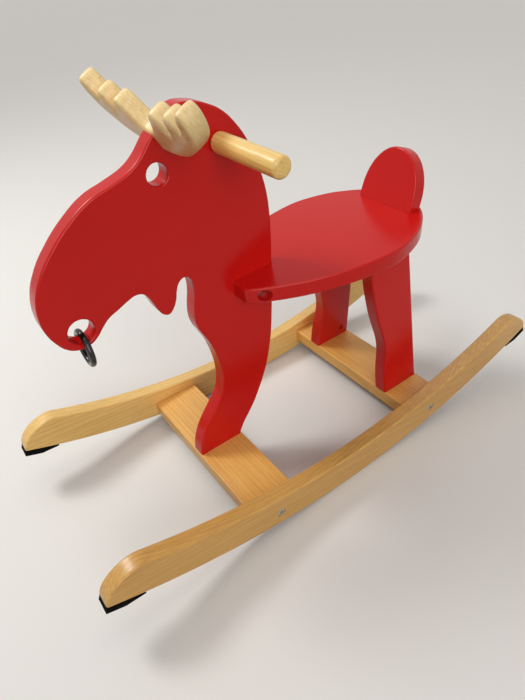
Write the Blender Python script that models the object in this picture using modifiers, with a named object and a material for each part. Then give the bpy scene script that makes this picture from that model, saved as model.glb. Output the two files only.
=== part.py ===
# A wooden rocking reindeer: a painted board animal with a seat, standing on two curved rockers.
# The toy's own frame has +X to the animal's left, the head towards -Y, +Z up, and the rockers'
# lowest point at its origin. One empty carries every piece and leans the toy to its rest pose.
import math
from collections import namedtuple

import bmesh
import bpy
from mathutils import Euler, Matrix, Vector

MM = 0.001

# Board stock, and how pieces fit together
BOARD = 24 * MM
EDGE_ROUND = 3 * MM
PLATE_ROUND = 1.5 * MM
FIT = 0.3 * MM
CUT_PAST = 25 * MM

# Rockers
WIDTH = 340 * MM
ROCKER_REACH = 423 * MM
ROCKER_RADIUS = 1079 * MM
ROCKER_HEIGHT = 57 * MM
NOSE_LENGTH = 53 * MM
NOSE_FULLNESS = 1.75
FACET_ANGLE = math.radians(2.4)
REST_LEAN = math.radians(0.36)

# Rubber pads under the rockers' ends
PAD_LENGTH = 52 * MM
PAD_FLAT = 26 * MM
PAD_THICKNESS = 9 * MM
PAD_FEATHER = 0.8 * MM
PAD_ROUND = 0.3 * MM
PAD_SCREW_INSET = 14 * MM

# Cross plates between the rockers
PLATE_TOP = 49 * MM
PLATE_DEPTH = 80 * MM
FRONT_PLATE_Y = -159 * MM
REAR_PLATE_Y = 169.5 * MM
FRONT_BOLT_LIFT = 0 * MM
REAR_BOLT_LIFT = 3.5 * MM
ROCKER_NUT_INSET = 36 * MM
ROCKER_DOWEL_SPREAD = 27 * MM
ROCKER_DOWEL_DEPTH = 14 * MM

# Head panel
EYE = (-180 * MM, 506.5 * MM)
EYE_RADIUS = 12.7 * MM
NOSTRIL = (-311.5 * MM, 357 * MM)
NOSTRIL_RADIUS = 16 * MM
FOOT_BOLT_SPREAD = 20 * MM
FOOT_NUT_LIFT = 30 * MM

# Handle: two pegs on a dowel that goes through the head panel, and the brad that holds the dowel
HANDLE = (-98.5 * MM, 522 * MM)
HANDLE_RADIUS = 12.5 * MM
HANDLE_LENGTH = 263 * MM
HANDLE_CHAMFER = 4 * MM
HANDLE_DOWEL_RADIUS = 6 * MM
HANDLE_DOWEL_LENGTH = 90 * MM
BRAD_RADIUS = 1.75 * MM
BRAD_LENGTH = 34 * MM
BRAD_END = 3 * MM

# Nose ring
RING_OUTER_RADIUS = 25.5 * MM
RING_STOCK_RADIUS = 3.8 * MM
RING_SEAT_GAP = 0.4 * MM

# Seat
SEAT_HEIGHT = 341.3 * MM
SEAT_SLOPE = math.atan(0.0419)
SLOT_END_Y = -34 * MM
WING_BOLT_Y = -80 * MM
WING_RECESS = 15 * MM
SLEEVE_RADIUS = 4.5 * MM
SLEEVE_LENGTH = 22 * MM
SLEEVE_END_WALL = 5 * MM

# Backrest
BACKREST_Y = 199 * MM
BACKREST_TILT = math.radians(18)
BACKREST_HALF_WIDTH = 53 * MM
BACKREST_RISE = 87 * MM
BACKREST_SHOULDER = 15 * MM
BACKREST_SCREW_X = 24 * MM
BACKREST_DOWEL_SINK = 12 * MM

# Rear legs
LEG_SPREAD = 101 * MM
LEG_SPLAY = math.atan(0.1235)
LEG_BOLT_Y = 187 * MM
LEG_NUT_LIFT = 20 * MM
LEG_DOWEL_Y = 150 * MM
LEG_TOP_DOWEL_YS = (126 * MM, 166 * MM)
LEG_TOP_DOWEL_SINK = 13 * MM

# Antlers: a board that leans forward, let into a notch in the forehead
ANTLER_FOOT = (-175.7 * MM, 545.7 * MM)
ANTLER_LEAN = math.radians(29)
ANTLER_ROUND = 5 * MM

# Fasteners: a head, a shank under it, and how far the head sits below the surface
Headed = namedtuple("Headed", "head_radius head_height shank_radius length recess socket")
ROCKER_BOLT = Headed(7 * MM, 4.5 * MM, 4 * MM, 60 * MM, 0.6 * MM, 2.9 * MM)
FOOT_BOLT = ROCKER_BOLT._replace(length=55 * MM)
LEG_BOLT = ROCKER_BOLT._replace(length=45 * MM)
WING_BOLT = Headed(8.5 * MM, 4 * MM, 3 * MM, 0, WING_RECESS, 2.9 * MM)
PAD_SCREW = Headed(3.5 * MM, 2.5 * MM, 1.75 * MM, 24 * MM, 1 * MM, 1.4 * MM)
BACKREST_SCREW = Headed(4.5 * MM, 3 * MM, 2.5 * MM, 45 * MM, 2 * MM, 1.8 * MM)
ANTLER_SCREW = Headed(3.5 * MM, 3 * MM, 2.2 * MM, 50 * MM, 1.2 * MM, 1.4 * MM)
HEAD_CHAMFER = 0.6 * MM
BARREL_RADIUS = 5 * MM
ROCKER_BARREL_LENGTH = 12 * MM
BOARD_BARREL_LENGTH = 14 * MM
DOWEL_RADIUS = 4 * MM
ROCKER_DOWEL_LENGTH = 36 * MM
FOOT_DOWEL_LENGTH = 30 * MM
SEAT_DOWEL_LENGTH = 28 * MM
DOWEL_CHAMFER = 0.8 * MM

# Fineness of round shapes
OUTLINE_STEPS = 2
NOSE_STEPS = 6
TOP_STEPS = 12
PAD_STEPS = 2
FASTENER_SIDES = 8
HANDLE_SIDES = 20
RING_STEPS = (28, 8)
SHARP_ANGLE = math.radians(35)

# Directions: where a turned piece's own +Z points
LEFTWARDS = (0, math.pi / 2, 0)
RIGHTWARDS = (0, -math.pi / 2, 0)
UPWARDS = (0, 0, 0)
DOWNWARDS = (math.pi, 0, 0)
BACKWARDS = (-math.pi / 2, 0, 0)
SIDE_ON = (math.pi / 2, 0, math.pi / 2)

Finish = namedtuple("Finish", "colour roughness metallic")
RED_PAINT = Finish((0.48, 0.017, 0.014), 0.38, 0.0)
LACQUERED_WOOD = Finish((0.62, 0.36, 0.13), 0.42, 0.0)
PALE_WOOD = Finish((0.78, 0.58, 0.30), 0.5, 0.0)
RAW_BEECH = Finish((0.66, 0.47, 0.29), 0.7, 0.0)
BLACK_GLOSS = Finish((0.008, 0.008, 0.009), 0.16, 0.0)
BLACK_RUBBER = Finish((0.012, 0.012, 0.012), 0.85, 0.0)
ZINC_STEEL = Finish((0.55, 0.55, 0.53), 0.32, 1.0)

for old in list(bpy.data.objects):
    bpy.data.objects.remove(old, do_unlink=True)

parts = bpy.data.collections.new("rocking_reindeer")
cutters = bpy.data.collections.new("cutters")
bpy.context.scene.collection.children.link(parts)
bpy.context.scene.collection.children.link(cutters)
toy = bpy.data.objects.new("toy_frame", None)
parts.objects.link(toy)
toy.rotation_euler = (REST_LEAN, 0, 0)


def place(obj, at, turn, collection):
    collection.objects.link(obj)
    obj.parent = toy
    obj.location = at
    obj.rotation_euler = turn
    return obj


def add_part(name, mesh, at, turn, finish):
    """A named piece of the toy with its own material."""
    material = bpy.data.materials.new(name + "_finish")
    material.use_nodes = True
    shader = material.node_tree.nodes["Principled BSDF"]
    shader.inputs["Base Color"].default_value = (*finish.colour, 1)
    shader.inputs["Roughness"].default_value = finish.roughness
    shader.inputs["Metallic"].default_value = finish.metallic
    material.diffuse_color = (*finish.colour, 1)
    mesh.materials.clear()
    mesh.materials.append(material)
    return place(bpy.data.objects.new(name, mesh), at, turn, parts)


def add_cutter(name, mesh, at, turn):
    cutter = place(bpy.data.objects.new("cut_" + name, mesh), at, turn, cutters)
    cutter.hide_render = True
    cutter.display_type = "WIRE"
    return cutter


def cut(cutter, *pieces):
    for piece in pieces:
        boolean = piece.modifiers.new(cutter.name, "BOOLEAN")
        boolean.operation = "DIFFERENCE"
        boolean.object = cutter


def realised(name, data, modify=None):
    """The mesh that a curve, or a mesh with modifiers, evaluates to."""
    guide = bpy.data.objects.new(name + "_guide", data)
    bpy.context.scene.collection.objects.link(guide)
    if modify:
        modify(guide)
    graph = bpy.context.evaluated_depsgraph_get()
    mesh = bpy.data.meshes.new_from_object(guide.evaluated_get(graph))
    mesh.name = name
    bpy.data.objects.remove(guide)
    return mesh


def box_mesh(name, low, high):
    mesh = bpy.data.meshes.new(name)
    form = bmesh.new()
    bmesh.ops.create_cube(form, size=1)
    size = Vector(high) - Vector(low)
    centre = (Vector(high) + Vector(low)) / 2
    bmesh.ops.transform(form, verts=form.verts, matrix=Matrix.Translation(centre) @ Matrix.Diagonal((*size, 1)))
    form.to_mesh(mesh)
    form.free()
    return mesh


def turned_mesh(name, profile, sides=FASTENER_SIDES):
    """A round piece from a profile of (radius, height) points that runs down its outer side."""
    line = bpy.data.meshes.new(name + "_profile")
    steps = range(len(profile) - 1)
    line.from_pydata([(radius, 0, height) for radius, height in profile], [(i, i + 1) for i in steps], [])

    def spin(guide):
        screw = guide.modifiers.new("spin", "SCREW")
        screw.steps = sides
        screw.render_steps = sides
        screw.use_merge_vertices = True
        screw.merge_threshold = 0.00001

    mesh = realised(name, line, spin)
    mesh.shade_smooth()
    mesh.set_sharp_from_angle(angle=SHARP_ANGLE)
    return mesh


def outline_mesh(name, loops, thickness, curved=True):
    """A flat board from closed outlines of (across, up) points; a third value marks a corner."""
    curve = bpy.data.curves.new(name + "_outline", "CURVE")
    curve.dimensions = "2D"
    curve.fill_mode = "BOTH"
    curve.extrude = thickness / 2
    curve.resolution_u = OUTLINE_STEPS
    for points in loops:
        spline = curve.splines.new("BEZIER" if curved else "POLY")
        knots = spline.bezier_points if curved else spline.points
        knots.add(len(points) - 1)
        for knot, (across, up, *corner) in zip(knots, points):
            if curved:
                knot.co = (across, up, 0)
                knot.handle_left_type = "VECTOR" if corner else "AUTO"
                knot.handle_right_type = "VECTOR" if corner else "AUTO"
            else:
                knot.co = (across, up, 0, 1)
        spline.use_cyclic_u = True
    mesh = realised(name, curve)
    form = bmesh.new()
    form.from_mesh(mesh)
    bmesh.ops.remove_doubles(form, verts=form.verts, dist=0.00001)
    bmesh.ops.dissolve_limit(form, angle_limit=math.radians(0.2), verts=form.verts, edges=form.edges)
    bmesh.ops.recalc_face_normals(form, faces=form.faces)
    form.to_mesh(mesh)
    form.free()
    return mesh


def round_edges(piece, width, clamped=False):
    rounding = piece.modifiers.new("rounded_edges", "BEVEL")
    rounding.width = width
    rounding.segments = 2
    rounding.use_clamp_overlap = clamped
    rounding.limit_method = "ANGLE"
    rounding.angle_limit = SHARP_ANGLE
    piece.data.shade_smooth()
    piece.data.set_sharp_from_angle(angle=SHARP_ANGLE)


def add_board(name, loops, at, turn, finish, curved=True, rounding=EDGE_ROUND):
    board = add_part(name, outline_mesh(name, loops, BOARD, curved), at, turn, finish)
    round_edges(board, rounding)
    return board


def circle(centre, radius, count=8):
    """Points round a circle, for a hole in an outline."""
    angles = [2 * math.pi * i / count for i in range(count)]
    return [(centre[0] + radius * math.cos(a), centre[1] + radius * math.sin(a)) for a in angles]


def mirrored(half):
    """A closed outline from its half at +X, which runs from the middle to the middle."""
    inner = [(-point[0], *point[1:]) for point in reversed(half) if point[0] > 0]
    return half + inner


def pin_profile(radius, length, chamfer):
    end = length / 2
    return [
        (0, end),
        (radius - chamfer, end),
        (radius, end - chamfer),
        (radius, chamfer - end),
        (radius - chamfer, -end),
        (0, -end),
    ]


def add_pin(name, radius, length, at, turn, finish, chamfer=DOWEL_CHAMFER, sides=FASTENER_SIDES):
    mesh = turned_mesh(name, pin_profile(radius, length, chamfer), sides)
    return add_part(name, mesh, at, turn, finish)


def add_bore(name, radius, low, high, at, turn, sides=FASTENER_SIDES):
    """A round cutter with room for a pin of that radius, from low to high along its own axis."""
    wide = radius + FIT
    mesh = turned_mesh(name, [(0, high), (wide, high), (wide, low), (0, low)], sides)
    return add_cutter(name, mesh, at, turn)


def add_pin_bore(name, radius, length, at, turn, sides=FASTENER_SIDES):
    return add_bore(name, radius, -length / 2 - FIT, length / 2 + FIT, at, turn, sides)


def add_headed(name, size, face, turn):
    """A bolt or screw whose head lies below the point of the surface that it is driven into."""
    top = -size.recess
    under = top - size.head_height
    end = under - size.length
    profile = [
        (0, top),
        (size.head_radius - HEAD_CHAMFER, top),
        (size.head_radius, top - HEAD_CHAMFER),
        (size.head_radius, under),
        (size.shank_radius, under),
        (size.shank_radius, end + HEAD_CHAMFER),
        (size.shank_radius - HEAD_CHAMFER, end),
        (0, end),
    ]
    screw = add_part(name, turned_mesh(name, profile), face, turn, ZINC_STEEL)
    socket = bpy.data.meshes.new(name + "_socket")
    form = bmesh.new()
    depth = size.head_height * 0.6
    bmesh.ops.create_cone(form, cap_ends=True, segments=6, radius1=size.socket, radius2=size.socket, depth=2 * depth)
    bmesh.ops.translate(form, verts=form.verts, vec=(0, 0, top))
    form.to_mesh(socket)
    form.free()
    cut(add_cutter(name + "_socket", socket, face, turn), screw)
    return screw


def add_headed_bore(name, size, face, turn):
    """The stepped hole that a bolt or screw goes into, open at its surface."""
    under = -size.recess - size.head_height
    end = under - size.length - FIT
    profile = [
        (0, CUT_PAST),
        (size.head_radius + FIT, CUT_PAST),
        (size.head_radius + FIT, under - FIT),
        (size.shank_radius + FIT, under - FIT),
        (size.shank_radius + FIT, end),
        (0, end),
    ]
    return add_cutter(name, turned_mesh(name, profile), face, turn)


def seat_point(x, y, below=0):
    """A point of the seat's top surface, or that far under it, square to it."""
    normal = Vector((0, -math.sin(SEAT_SLOPE), math.cos(SEAT_SLOPE)))
    return Vector((x, y, SEAT_HEIGHT + y * math.tan(SEAT_SLOPE))) - normal * below


def rocker_arc(angle, radius=ROCKER_RADIUS):
    """(y, z) on a circle about the rockers' own centre, at an angle from straight down."""
    return radius * math.sin(angle), ROCKER_RADIUS - radius * math.cos(angle)


TIP_ANGLE = math.asin(ROCKER_REACH / ROCKER_RADIUS)


def rocker_outline():
    """The running edge in flats, one of them level at rest, a rounded nose at each end, a concave top."""
    first = math.ceil((REST_LEAN - TIP_ANGLE) / FACET_ANGLE - 0.5)
    last = math.floor((REST_LEAN + TIP_ANGLE) / FACET_ANGLE - 0.5)
    turns = [-REST_LEAN + (k + 0.5) * FACET_ANGLE for k in range(first, last + 1)]
    turns = [a for a in turns if abs(a) < TIP_ANGLE - FACET_ANGLE / 6]
    running_edge = [rocker_arc(a) for a in [-TIP_ANGLE, *turns, TIP_ANGLE]]
    top_radius = ROCKER_RADIUS - ROCKER_HEIGHT
    top_angle = math.asin((ROCKER_REACH - NOSE_LENGTH) / top_radius)
    tip_z = rocker_arc(TIP_ANGLE)[1]
    rise = rocker_arc(top_angle, top_radius)[1] - tip_z
    nose = []
    for i in range(1, NOSE_STEPS):
        turn = math.pi / 2 * i / NOSE_STEPS
        out = math.cos(turn) ** (2 / NOSE_FULLNESS)
        up = math.sin(turn) ** (2 / NOSE_FULLNESS)
        nose.append((ROCKER_REACH - NOSE_LENGTH * (1 - out), tip_z + rise * up))
    top = [rocker_arc(top_angle * (1 - 2 * i / TOP_STEPS), top_radius) for i in range(TOP_STEPS + 1)]
    return running_edge + nose + top + [(-y, z) for y, z in reversed(nose)]


def pad_outline(sign):
    """A rubber wedge that follows the running edge in from the tip and thins out to a feather edge."""
    upper, lower = [], []
    stations = [PAD_FLAT * i / PAD_STEPS for i in range(PAD_STEPS + 1)] + [PAD_LENGTH]
    for station in stations:
        angle = sign * (TIP_ANGLE - (station + FIT) / ROCKER_RADIUS)
        thickness = PAD_THICKNESS if station <= PAD_FLAT else PAD_FEATHER
        upper.append(rocker_arc(angle, ROCKER_RADIUS + FIT))
        lower.append(rocker_arc(angle, ROCKER_RADIUS + FIT + thickness))
    return upper + lower[::-1]


def millimetres(points):
    return [(point[0] * MM, point[1] * MM, *point[2:]) for point in points]


CORNER = "corner"
HEAD_OUTLINE = millimetres([
    (-196, 529), (-210, 519), (-235, 510), (-260, 502.5), (-286, 487), (-316, 461), (-335, 438),
    (-347, 414), (-351, 389), (-349, 371), (-342, 353), (-335, 342.5), (-325, 335.5), (-314, 333.5),
    (-303, 336), (-294, 342), (-286, 350.5), (-276, 359), (-261, 365.5), (-247, 371.5), (-238, 374),
    (-229, 372), (-223, 365), (-218, 353), (-213, 340), (-207, 331.5), (-200, 329), (-193, 334),
    (-187, 345), (-183, 359), (-178, 368), (-170, 371.5), (-163, 367), (-160, 355), (-161, 338),
    (-164, 323), (-166, 305), (-164, 289), (-158, 274), (-150, 256), (-145, 240), (-141, 221),
    (-138, 192), (-141, 164), (-146, 150), (-156, 135), (-170, 117), (-183, 98), (-191, 81),
    (-196, 62), (-198, 40, CORNER), (-126, 40, CORNER), (-111, 68), (-99, 84), (-87, 101),
    (-75, 123), (-64, 146), (-55, 170), (-48, 198), (-43, 225), (-39, 262), (-35.5, 305),
    (-34, 341), (-32, 380), (-32, 412), (-34, 440), (-40, 468), (-48, 493), (-58, 516), (-71, 536),
    (-88, 554), (-106, 564.5), (-126, 571), (-146, 571.5), (-165, 560), (-182, 544),
])
SEAT_HALF = millimetres([
    (0, -102, CORNER), (31, -102, CORNER), (41, -99.5), (50, -89), (60, -73), (73, -50), (85, -25),
    (95, 2), (104, 32), (110, 62), (113.5, 93), (113, 116), (109, 137), (103, 157), (95, 176),
    (84, 194), (70, 212), (52, 228), (28, 240.5), (0, 245),
])
# The rear leg's front edge, as (y, height); its rear edge is a straight line
LEG_FRONT = millimetres([
    (106, 350, CORNER), (106.5, 286), (109, 255), (113, 228), (118, 202), (125, 177), (131, 155),
    (133, 137), (131.5, 116), (129, 94), (128.5, 72), (129.5, 30, CORNER),
])
LEG_REAR_FOOT_Y = 207 * MM
LEG_REAR_LEAN = 0.067
# Half of the antlers, as (out from the middle, up): the valley, three tines and the underside
ANTLER_HALF = millimetres([
    (0, 4), (10, 6), (20, 14), (28, 25), (35, 33), (41, 36), (48, 32), (54, 24), (61.3, 12, CORNER),
    (65, 26), (69, 36), (76, 40.5), (83, 36), (93, 23, CORNER), (98, 35.5), (104, 46.5), (112, 51),
    (118.5, 44.5), (119, 32), (112, 16), (97, 2), (85, -5), (72, -12), (60, -16), (40, -20.5), (20, -22),
    (0, -22.5),
])


def half_width(half, y):
    """The half width of an outline at y, between the points on either side."""
    for near, far in zip(half, half[1:]):
        if near[1] <= y <= far[1] and far[1] > near[1]:
            return near[0] + (far[0] - near[0]) * (y - near[1]) / (far[1] - near[1])
    return 0


def make_head_panel():
    loops = [HEAD_OUTLINE, circle(EYE, EYE_RADIUS), circle(NOSTRIL, NOSTRIL_RADIUS)]
    panel = add_board("head_panel", loops, (0, 0, 0), SIDE_ON, RED_PAINT)
    cut(plate_space, panel)
    return panel


def make_seat():
    seat = add_board(
        "seat",
        [mirrored(SEAT_HALF)],
        seat_point(0, 0, BOARD / 2),
        (SEAT_SLOPE, 0, 0),
        RED_PAINT,
    )
    side = BOARD / 2 + FIT
    front = SEAT_HALF[0][1] - CUT_PAST
    low = (-side, front, SEAT_HEIGHT - 2 * BOARD)
    high = (side, SLOT_END_Y + FIT, SEAT_HEIGHT + BOARD)
    slot = add_cutter("seat_slot", box_mesh("seat_slot", low, high), (0, 0, 0), (0, 0, 0))
    cut(slot, seat)
    return seat


def make_backrest(seat):
    rise = Vector((0, math.sin(BACKREST_TILT), math.cos(BACKREST_TILT)))
    into = Vector((0, math.cos(BACKREST_TILT), -math.sin(BACKREST_TILT)))
    middle = seat_point(0, BACKREST_Y) + into * BOARD / 2
    arch = BACKREST_RISE - BACKREST_SHOULDER
    half = [(BACKREST_HALF_WIDTH, -BOARD, CORNER), (BACKREST_HALF_WIDTH, 0)]
    for turn in range(0, 90, 15):
        angle = math.radians(turn)
        across = BACKREST_HALF_WIDTH * math.cos(angle)
        half.append((across, BACKREST_SHOULDER + arch * math.sin(angle)))
    outline = mirrored([*half, (0, BACKREST_RISE)])
    turn = (math.pi / 2 - BACKREST_TILT, 0, 0)
    backrest = add_board("backrest", [outline], middle, turn, RED_PAINT)
    cut(seat_top_space, backrest)

    underside = seat_point(0, 0, BOARD)
    normal = Vector((0, -math.sin(SEAT_SLOPE), math.cos(SEAT_SLOPE)))
    depth = (underside - middle).dot(normal) / rise.dot(normal)
    driven = (math.pi - BACKREST_TILT, 0, 0)
    for side, sign in SIDES:
        face = middle + rise * depth + Vector((sign * BACKREST_SCREW_X, 0, 0))
        name = "backrest_screw_" + side
        add_headed(name, BACKREST_SCREW, face, driven)
        cut(add_headed_bore(name, BACKREST_SCREW, face, driven), seat, backrest)
    centre = middle + rise * (SEAT_DOWEL_LENGTH / 2 - BACKREST_DOWEL_SINK)
    add_pin("backrest_dowel", DOWEL_RADIUS, SEAT_DOWEL_LENGTH, centre, driven, RAW_BEECH)
    cut(add_pin_bore("backrest_dowel", DOWEL_RADIUS, SEAT_DOWEL_LENGTH, centre, driven), seat, backrest)
    return backrest


def make_plate(end, y):
    reach = WIDTH / 2 - BOARD - FIT
    low = (-reach, -PLATE_DEPTH / 2, -BOARD)
    high = (reach, PLATE_DEPTH / 2, 0)
    name = "cross_plate_" + end
    plate = add_part(name, box_mesh(name, low, high), (0, y, PLATE_TOP), (0, 0, 0), LACQUERED_WOOD)
    round_edges(plate, PLATE_ROUND)
    return plate


def make_rocker(side, sign, plates):
    outward = LEFTWARDS if sign > 0 else RIGHTWARDS
    centre_x = sign * (WIDTH / 2 - BOARD / 2)
    inner_x = WIDTH / 2 - BOARD
    rocker = add_board(
        "rocker_" + side, [rocker_outline()], (centre_x, 0, 0), SIDE_ON, LACQUERED_WOOD, curved=False
    )
    for end, (plate, y, lift) in plates.items():
        name = f"{side}_{end}"
        bolt_z = PLATE_TOP - BOARD / 2 + lift
        face = (sign * WIDTH / 2, y, bolt_z)
        add_headed("rocker_bolt_" + name, ROCKER_BOLT, face, outward)
        bolt_hole = add_headed_bore("rocker_bolt_" + name, ROCKER_BOLT, face, outward)
        at = (sign * (inner_x - ROCKER_NUT_INSET), y, bolt_z)
        nut = add_pin("rocker_nut_" + name, BARREL_RADIUS, ROCKER_BARREL_LENGTH, at, UPWARDS, ZINC_STEEL)
        cut(bolt_hole, rocker, plate, nut)
        top = ROCKER_BARREL_LENGTH / 2 + FIT
        cut(add_bore("rocker_nut_" + name, BARREL_RADIUS, -CUT_PAST, top, at, UPWARDS), plate)
        for place_name, shift in (("a", -ROCKER_DOWEL_SPREAD), ("b", ROCKER_DOWEL_SPREAD)):
            dowel_name = f"rocker_dowel_{name}_{place_name}"
            middle = inner_x + ROCKER_DOWEL_DEPTH - ROCKER_DOWEL_LENGTH / 2
            spot = (sign * middle, y + shift, PLATE_TOP - BOARD / 2)
            add_pin(dowel_name, DOWEL_RADIUS, ROCKER_DOWEL_LENGTH, spot, outward, RAW_BEECH)
            cut(add_pin_bore(dowel_name, DOWEL_RADIUS, ROCKER_DOWEL_LENGTH, spot, outward), rocker, plate)
    return rocker


def make_end_pads(side, sign, rocker):
    for end, way in (("front", -1), ("rear", 1)):
        name = f"{side}_{end}"
        x = sign * (WIDTH / 2 - BOARD / 2)
        pad = add_board(
            "end_pad_" + name,
            [pad_outline(way)],
            (x, 0, 0),
            SIDE_ON,
            BLACK_RUBBER,
            curved=False,
            rounding=PAD_ROUND,
        )
        angle = way * (TIP_ANGLE - PAD_SCREW_INSET / ROCKER_RADIUS)
        face = (x, *rocker_arc(angle, ROCKER_RADIUS + FIT + PAD_THICKNESS))
        driven = (math.pi + angle, 0, 0)
        add_headed("pad_screw_" + name, PAD_SCREW, face, driven)
        cut(add_headed_bore("pad_screw_" + name, PAD_SCREW, face, driven), pad, rocker)


def make_front_foot(panel, plate):
    for end, shift in (("front", -FOOT_BOLT_SPREAD), ("rear", FOOT_BOLT_SPREAD)):
        y = FRONT_PLATE_Y + shift
        face = (0, y, PLATE_TOP - BOARD)
        name = "foot_bolt_" + end
        add_headed(name, FOOT_BOLT, face, DOWNWARDS)
        at = (0, y, PLATE_TOP + FOOT_NUT_LIFT)
        nut_name = "foot_nut_" + end
        nut = add_pin(nut_name, BARREL_RADIUS, BOARD_BARREL_LENGTH, at, LEFTWARDS, ZINC_STEEL)
        cut(add_headed_bore(name, FOOT_BOLT, face, DOWNWARDS), plate, panel, nut)
        high = BOARD_BARREL_LENGTH / 2 + FIT
        cut(add_bore(nut_name, BARREL_RADIUS, -CUT_PAST, high, at, LEFTWARDS), panel)


def make_rear_leg(side, sign, plate, seat):
    lean = sign * LEG_SPLAY
    outward = Vector((sign * math.cos(LEG_SPLAY), 0, math.sin(LEG_SPLAY)))
    centre = Vector((sign * LEG_SPREAD, 0, PLATE_TOP)) - outward * BOARD / 2
    rear = []
    for height in (LEG_FRONT[-1][1], LEG_FRONT[0][1]):
        rear.append((LEG_REAR_FOOT_Y - LEG_REAR_LEAN * (height - PLATE_TOP), height, CORNER))
    outline = []
    for y, height, *corner in LEG_FRONT + rear:
        outline.append((y, (height - PLATE_TOP) / math.cos(LEG_SPLAY), *corner))
    turn = (Matrix.Rotation(-lean, 3, "Y") @ Euler(SIDE_ON).to_matrix()).to_euler()
    name = "rear_leg_" + side
    leg = add_board(name, [outline], centre, turn, RED_PAINT)
    cut(plate_space, leg)
    cut(seat_under_space, leg)

    def middle_x(z):
        """The x of the leg board's mid plane at that height."""
        return sign * (LEG_SPREAD - BOARD / 2 / math.cos(LEG_SPLAY) - (z - PLATE_TOP) * math.tan(LEG_SPLAY))

    bolt_x = middle_x(PLATE_TOP + LEG_NUT_LIFT / 2)
    face = (bolt_x, LEG_BOLT_Y, PLATE_TOP - BOARD)
    add_headed("leg_bolt_" + side, LEG_BOLT, face, DOWNWARDS)
    at = (bolt_x, LEG_BOLT_Y, PLATE_TOP + LEG_NUT_LIFT)
    nut_name = "leg_nut_" + side
    outward_turn = LEFTWARDS if sign > 0 else RIGHTWARDS
    nut = add_pin(nut_name, BARREL_RADIUS, BOARD_BARREL_LENGTH, at, outward_turn, ZINC_STEEL)
    cut(add_headed_bore("leg_bolt_" + side, LEG_BOLT, face, DOWNWARDS), plate, leg, nut)
    high = BOARD_BARREL_LENGTH / 2 + FIT
    cut(add_bore(nut_name, BARREL_RADIUS, -CUT_PAST, high, at, outward_turn), leg)

    foot = (middle_x(PLATE_TOP), LEG_DOWEL_Y, PLATE_TOP)
    foot_name = "leg_foot_dowel_" + side
    add_pin(foot_name, DOWEL_RADIUS, FOOT_DOWEL_LENGTH, foot, UPWARDS, RAW_BEECH)
    cut(add_pin_bore(foot_name, DOWEL_RADIUS, FOOT_DOWEL_LENGTH, foot, UPWARDS), plate, leg)

    for end, y in zip(("front", "rear"), LEG_TOP_DOWEL_YS):
        z = seat_point(0, y, BOARD).z + LEG_TOP_DOWEL_SINK - SEAT_DOWEL_LENGTH / 2
        top = (middle_x(z), y, z)
        top_name = f"leg_seat_dowel_{side}_{end}"
        add_pin(top_name, DOWEL_RADIUS, SEAT_DOWEL_LENGTH, top, UPWARDS, RAW_BEECH)
        cut(add_pin_bore(top_name, DOWEL_RADIUS, SEAT_DOWEL_LENGTH, top, UPWARDS), seat, leg)


def make_wing_joint(panel, seat):
    """A connector bolt and its sleeve nut draw the seat's two front wings against the head panel."""
    edge = half_width(SEAT_HALF, WING_BOLT_Y)
    z = seat_point(0, WING_BOLT_Y, BOARD / 2).z
    span = 2 * (edge - WING_RECESS - WING_BOLT.head_height)
    bolt = WING_BOLT._replace(length=span - SLEEVE_END_WALL)
    face = (edge, WING_BOLT_Y, z)
    add_headed("wing_bolt", bolt, face, LEFTWARDS)
    sleeve = WING_BOLT._replace(shank_radius=SLEEVE_RADIUS, length=SLEEVE_LENGTH)
    far_face = (-edge, WING_BOLT_Y, z)
    nut = add_headed("wing_sleeve_nut", sleeve, far_face, RIGHTWARDS)
    cut(add_headed_bore("wing_bolt", bolt, face, LEFTWARDS), seat, panel, nut)
    cut(add_headed_bore("wing_sleeve_nut", sleeve, far_face, RIGHTWARDS), seat)


def make_antlers(panel):
    rise = Vector((0, -math.sin(ANTLER_LEAN), math.cos(ANTLER_LEAN)))
    into = Vector((0, math.cos(ANTLER_LEAN), math.sin(ANTLER_LEAN)))
    middle = Vector((0, *ANTLER_FOOT)) + into * BOARD / 2
    turn = (math.pi / 2 + ANTLER_LEAN, 0, 0)
    antlers = add_part("antlers", outline_mesh("antlers", [mirrored(ANTLER_HALF)], BOARD), middle, turn, PALE_WOOD)
    round_edges(antlers, ANTLER_ROUND, clamped=True)

    side = BOARD / 2 + FIT
    seat_low = (-BOARD, ANTLER_HALF[-1][1] - FIT, -side)
    seat_high = (BOARD, 4 * CUT_PAST, side)
    notch = add_cutter("antler_seat", box_mesh("antler_seat", seat_low, seat_high), middle, turn)
    round_edges(notch, EDGE_ROUND)
    cut(notch, panel)
    face = middle + rise * ANTLER_HALF[0][1]
    driven = (ANTLER_LEAN, 0, 0)
    add_headed("antler_screw", ANTLER_SCREW, face, driven)
    cut(add_headed_bore("antler_screw", ANTLER_SCREW, face, driven), antlers, panel)


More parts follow.
